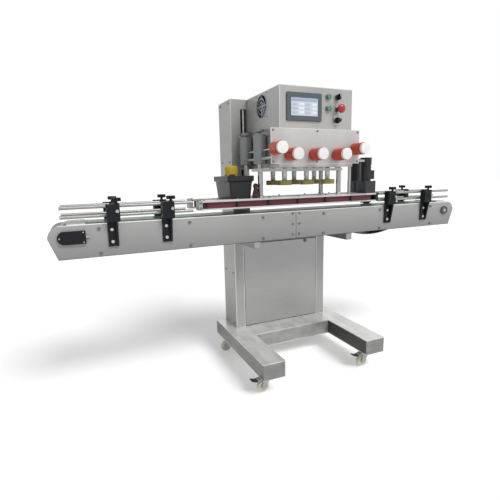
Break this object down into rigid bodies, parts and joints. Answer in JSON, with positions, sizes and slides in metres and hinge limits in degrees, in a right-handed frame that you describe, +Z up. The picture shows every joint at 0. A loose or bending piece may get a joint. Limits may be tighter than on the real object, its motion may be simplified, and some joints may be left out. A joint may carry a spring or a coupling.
{
  "type": "screw capping machine",
  "caption": "Inline screw capping machine: belt conveyor with guide rails, side gripping belts, paired cap wheels on a lifting head, control box, rear column and wheeled stand.",
  "frame": {"origin": "on the floor, under the middle of the conveyor's length and midway along the stand's feet", "axes": "+X along the conveyor towards the outfeed, +Z up, the operator's side faces -Y"},
  "size_m": [2, 0.566, 1.23],
  "materials": {
    "stainless": "brushed",
    "plate": "satin",
    "belt_green": "matt",
    "alloy": "satin",
    "zinc": "bright",
    "bright": "bright",
    "black_nylon": "matt",
    "black_paint": "satin",
    "grip_red": "matt",
    "wheel_olive": "matt",
    "knob_red": "gloss",
    "cream": "satin",
    "bezel": "satin",
    "lamp_green": "gloss",
    "stop_red": "gloss",
    "cap_yellow": "gloss"
  },
  "bodies": {
    "stand": {"base_frame": "stainless", "cabinet": "stainless", "conveyor_sides": "plate", "conveyor_bed": "plate", "conveyor_belt": "belt_green", "rail_brackets": "black_nylon"},
    "fork_front_left": {"caster_fork_front_left": "zinc"},
    "wheel_front_left": {"caster_wheel_front_left": "cream"},
    "fork_front_right": {"caster_fork_front_right": "zinc"},
    "wheel_front_right": {"caster_wheel_front_right": "cream"},
    "fork_rear_left": {"caster_fork_rear_left": "zinc"},
    "wheel_rear_left": {"caster_wheel_rear_left": "cream"},
    "fork_rear_right": {"caster_fork_rear_right": "zinc"},
    "wheel_rear_right": {"caster_wheel_rear_right": "cream"},
    "door": {"cabinet_door": "stainless"},
    "lift_screw": {"lift_screw": "bright"},
    "drive_roller": {"drive_roller": "alloy"},
    "idler_roller": {"idler_roller": "alloy"},
    "rail_front_left": {"guide_rail_front_left": "bright"},
    "rail_front_right": {"guide_rail_front_right": "bright"},
    "rail_rear_left": {"guide_rail_rear_left": "bright"},
    "rail_rear_right": {"guide_rail_rear_right": "bright"},
    "head": {"head_frame": "stainless", "control_box": "stainless", "touch_screen": "bezel", "green_lamps": "lamp_green", "parts_bin": "black_nylon", "spare_caps": "cap_yellow"},
    "front_unit": {"front_unit_frame": "alloy", "front_unit_motor": "black_paint", "front_grip_belt": "grip_red"},
    "front_drive_pulley": {"front_drive_pulley": "alloy"},
    "front_idle_pulley": {"front_idle_pulley": "alloy"},
    "rear_unit": {"rear_unit_frame": "alloy", "rear_unit_motor": "black_paint", "rear_grip_belt": "grip_red"},
    "rear_drive_pulley": {"rear_drive_pulley": "alloy"},
    "rear_idle_pulley": {"rear_idle_pulley": "alloy"},
    "hand_knob_1": {"hand_knob_1": "knob_red"},
    "hand_knob_2": {"hand_knob_2": "knob_red"},
    "hand_knob_3": {"hand_knob_3": "knob_red"},
    "hand_knob_4": {"hand_knob_4": "knob_red"},
    "hand_knob_5": {"hand_knob_5": "knob_red"},
    "carriage_front_1": {"carriage_front_1": "alloy"},
    "spindle_front_1": {"spindle_front_1": "wheel_olive"},
    "carriage_rear_1": {"carriage_rear_1": "alloy"},
    "spindle_rear_1": {"spindle_rear_1": "wheel_olive"},
    "carriage_front_2": {"carriage_front_2": "alloy"},
    "spindle_front_2": {"spindle_front_2": "wheel_olive"},
    "carriage_rear_2": {"carriage_rear_2": "alloy"},
    "spindle_rear_2": {"spindle_rear_2": "wheel_olive"},
    "carriage_front_3": {"carriage_front_3": "alloy"},
    "spindle_front_3": {"spindle_front_3": "wheel_olive"},
    "carriage_rear_3": {"carriage_rear_3": "alloy"},
    "spindle_rear_3": {"spindle_rear_3": "wheel_olive"},
    "fan_rotor": {"fan_rotor": "black_nylon"},
    "selector": {"selector": "black_nylon"},
    "speed_knob": {"speed_knob": "black_nylon"},
    "emergency_stop": {"emergency_stop": "stop_red"}
  },
  "joints": [
    {"name": "caster_swivel_front_left", "type": "hinge", "parent": "stand", "child": "fork_front_left", "pos_m": [-0.232, -0.22, 0.07], "axis": [0, 0, 1], "continuous": true},
    {"name": "caster_roll_front_left", "type": "hinge", "parent": "fork_front_left", "child": "wheel_front_left", "pos_m": [-0.258, -0.22, 0.025], "axis": [0, 1, 0], "continuous": true},
    {"name": "caster_swivel_front_right", "type": "hinge", "parent": "stand", "child": "fork_front_right", "pos_m": [0.284, -0.22, 0.07], "axis": [0, 0, 1], "continuous": true},
    {"name": "caster_roll_front_right", "type": "hinge", "parent": "fork_front_right", "child": "wheel_front_right", "pos_m": [0.258, -0.22, 0.025], "axis": [0, 1, 0], "continuous": true},
    {"name": "caster_swivel_rear_left", "type": "hinge", "parent": "stand", "child": "fork_rear_left", "pos_m": [-0.232, 0.22, 0.07], "axis": [0, 0, 1], "continuous": true},
    {"name": "caster_roll_rear_left", "type": "hinge", "parent": "fork_rear_left", "child": "wheel_rear_left", "pos_m": [-0.258, 0.22, 0.025], "axis": [0, 1, 0], "continuous": true},
    {"name": "caster_swivel_rear_right", "type": "hinge", "parent": "stand", "child": "fork_rear_right", "pos_m": [0.284, 0.22, 0.07], "axis": [0, 0, 1], "continuous": true},
    {"name": "caster_roll_rear_right", "type": "hinge", "parent": "fork_rear_right", "child": "wheel_rear_right", "pos_m": [0.258, 0.22, 0.025], "axis": [0, 1, 0], "continuous": true},
    {"name": "door_swing", "type": "hinge", "parent": "stand", "child": "door", "pos_m": [-0.1797, 0.13, 0.36], "axis": [0, 0, -1], "range_deg": [0, 105]},
    {"name": "lift_screw_turn", "type": "hinge", "parent": "stand", "child": "lift_screw", "pos_m": [-0.1595, 0.147, 0.98], "axis": [0, 0, 1], "range_deg": [-900, 9000]},
    {"name": "drive_roller_turn", "type": "hinge", "parent": "stand", "child": "drive_roller", "pos_m": [0.931, 0.015, 0.685], "axis": [0, 1, 0], "continuous": true},
    {"name": "idler_roller_turn", "type": "hinge", "parent": "stand", "child": "idler_roller", "pos_m": [-0.931, 0.015, 0.685], "axis": [0, 1, 0], "continuous": true},
    {"name": "rail_shift_front_left", "type": "slide", "parent": "stand", "child": "rail_front_left", "axis": [0, 1, 0], "range_m": [0, 0.03]},
    {"name": "rail_shift_front_right", "type": "slide", "parent": "stand", "child": "rail_front_right", "axis": [0, 1, 0], "range_m": [0, 0.03]},
    {"name": "rail_shift_rear_left", "type": "slide", "parent": "stand", "child": "rail_rear_left", "axis": [0, -1, 0], "range_m": [0, 0.03]},
    {"name": "rail_shift_rear_right", "type": "slide", "parent": "stand", "child": "rail_rear_right", "axis": [0, -1, 0], "range_m": [0, 0.03]},
    {"name": "head_lift", "type": "slide", "parent": "stand", "child": "head", "axis": [0, 0, 1], "range_m": [-0.01, 0.1]},
    {"name": "front_unit_shift", "type": "slide", "parent": "head", "child": "front_unit", "axis": [0, -1, 0], "range_m": [-0.005, 0.005]},
    {"name": "front_drive_pulley_turn", "type": "hinge", "parent": "front_unit", "child": "front_drive_pulley", "pos_m": [0.405, -0.045, 0.776], "axis": [0, 0, 1], "continuous": true},
    {"name": "front_idle_pulley_turn", "type": "hinge", "parent": "front_unit", "child": "front_idle_pulley", "pos_m": [-0.405, -0.045, 0.776], "axis": [0, 0, 1], "continuous": true},
    {"name": "rear_unit_shift", "type": "slide", "parent": "head", "child": "rear_unit", "axis": [0, 1, 0], "range_m": [-0.005, 0.005]},
    {"name": "rear_drive_pulley_turn", "type": "hinge", "parent": "rear_unit", "child": "rear_drive_pulley", "pos_m": [0.44, 0.075, 0.776], "axis": [0, 0, 1], "continuous": true},
    {"name": "rear_idle_pulley_turn", "type": "hinge", "parent": "rear_unit", "child": "rear_idle_pulley", "pos_m": [-0.405, 0.075, 0.776], "axis": [0, 0, 1], "continuous": true},
    {"name": "hand_knob_1_turn", "type": "hinge", "parent": "head", "child": "hand_knob_1", "pos_m": [-0.173, -0.19, 0.991], "axis": [0, -1, 0], "range_deg": [-360, 360]},
    {"name": "hand_knob_2_turn", "type": "hinge", "parent": "head", "child": "hand_knob_2", "pos_m": [-0.104, -0.19, 0.968], "axis": [0, -1, 0], "range_deg": [-360, 360]},
    {"name": "hand_knob_3_turn", "type": "hinge", "parent": "head", "child": "hand_knob_3", "pos_m": [0.009, -0.19, 0.968], "axis": [0, -1, 0], "range_deg": [-360, 360]},
    {"name": "hand_knob_4_turn", "type": "hinge", "parent": "head", "child": "hand_knob_4", "pos_m": [0.122, -0.19, 0.968], "axis": [0, -1, 0], "range_deg": [-360, 360]},
    {"name": "hand_knob_5_turn", "type": "hinge", "parent": "head", "child": "hand_knob_5", "pos_m": [0.215, -0.19, 0.991], "axis": [0, -1, 0], "range_deg": [-360, 360]},
    {"name": "carriage_front_1_shift", "type": "slide", "parent": "head", "child": "carriage_front_1", "axis": [0, -1, 0], "range_m": [-0.005, 0.005]},
    {"name": "spindle_front_1_turn", "type": "hinge", "parent": "carriage_front_1", "child": "spindle_front_1", "pos_m": [-0.047, -0.04, 0.9], "axis": [0, 0, 1], "continuous": true},
    {"name": "carriage_rear_1_shift", "type": "slide", "parent": "head", "child": "carriage_rear_1", "axis": [0, 1, 0], "range_m": [-0.005, 0.005]},
    {"name": "spindle_rear_1_turn", "type": "hinge", "parent": "carriage_rear_1", "child": "spindle_rear_1", "pos_m": [-0.047, 0.07, 0.9], "axis": [0, 0, 1], "continuous": true},
    {"name": "carriage_front_2_shift", "type": "slide", "parent": "head", "child": "carriage_front_2", "axis": [0, -1, 0], "range_m": [-0.005, 0.005]},
    {"name": "spindle_front_2_turn", "type": "hinge", "parent": "carriage_front_2", "child": "spindle_front_2", "pos_m": [0.066, -0.04, 0.9], "axis": [0, 0, 1], "continuous": true},
    {"name": "carriage_rear_2_shift", "type": "slide", "parent": "head", "child": "carriage_rear_2", "axis": [0, 1, 0], "range_m": [-0.005, 0.005]},
    {"name": "spindle_rear_2_turn", "type": "hinge", "parent": "carriage_rear_2", "child": "spindle_rear_2", "pos_m": [0.066, 0.07, 0.9], "axis": [0, 0, 1], "continuous": true},
    {"name": "carriage_front_3_shift", "type": "slide", "parent": "head", "child": "carriage_front_3", "axis": [0, -1, 0], "range_m": [-0.005, 0.005]},
    {"name": "spindle_front_3_turn", "type": "hinge", "parent": "carriage_front_3", "child": "spindle_front_3", "pos_m": [0.179, -0.04, 0.9], "axis": [0, 0, 1], "continuous": true},
    {"name": "carriage_rear_3_shift", "type": "slide", "parent": "head", "child": "carriage_rear_3", "axis": [0, 1, 0], "range_m": [-0.005, 0.005]},
    {"name": "spindle_rear_3_turn", "type": "hinge", "parent": "carriage_rear_3", "child": "spindle_rear_3", "pos_m": [0.179, 0.07, 0.9], "axis": [0, 0, 1], "continuous": true},
    {"name": "fan_turn", "type": "hinge", "parent": "head", "child": "fan_rotor", "pos_m": [-0.135, -0.026, 1.174], "axis": [1, 0, 0], "continuous": true},
    {"name": "selector_turn", "type": "hinge", "parent": "head", "child": "selector", "pos_m": [0.122, -0.19, 1.196], "axis": [0, -1, 0], "range_deg": [-45, 45]},
    {"name": "speed_knob_turn", "type": "hinge", "parent": "head", "child": "speed_knob", "pos_m": [0.122, -0.19, 1.106], "axis": [0, -1, 0], "range_deg": [-135, 135]},
    {"name": "emergency_stop_push", "type": "slide", "parent": "head", "child": "emergency_stop", "axis": [0, 1, 0], "range_m": [0, 0.004]}
  ],
  "couplings": [
    {"joint": "idler_roller_turn", "follows": "drive_roller_turn", "ratio": 1},
    {"joint": "lift_screw_turn", "follows": "head_lift", "rad_per_m": 1570.8},
    {"joint": "front_idle_pulley_turn", "follows": "front_drive_pulley_turn", "ratio": 1},
    {"joint": "rear_idle_pulley_turn", "follows": "rear_drive_pulley_turn", "ratio": 1},
    {"joint": "rear_unit_shift", "follows": "front_unit_shift", "ratio": 1},
    {"joint": "hand_knob_1_turn", "follows": "front_unit_shift", "rad_per_m": 1256.6},
    {"joint": "hand_knob_5_turn", "follows": "front_unit_shift", "rad_per_m": 1256.6},
    {"joint": "carriage_rear_1_shift", "follows": "carriage_front_1_shift", "ratio": 1},
    {"joint": "hand_knob_2_turn", "follows": "carriage_front_1_shift", "rad_per_m": 1256.6},
    {"joint": "carriage_rear_2_shift", "follows": "carriage_front_2_shift", "ratio": 1},
    {"joint": "hand_knob_3_turn", "follows": "carriage_front_2_shift", "rad_per_m": 1256.6},
    {"joint": "carriage_rear_3_shift", "follows": "carriage_front_3_shift", "ratio": 1},
    {"joint": "hand_knob_4_turn", "follows": "carriage_front_3_shift", "rad_per_m": 1256.6}
  ]
}
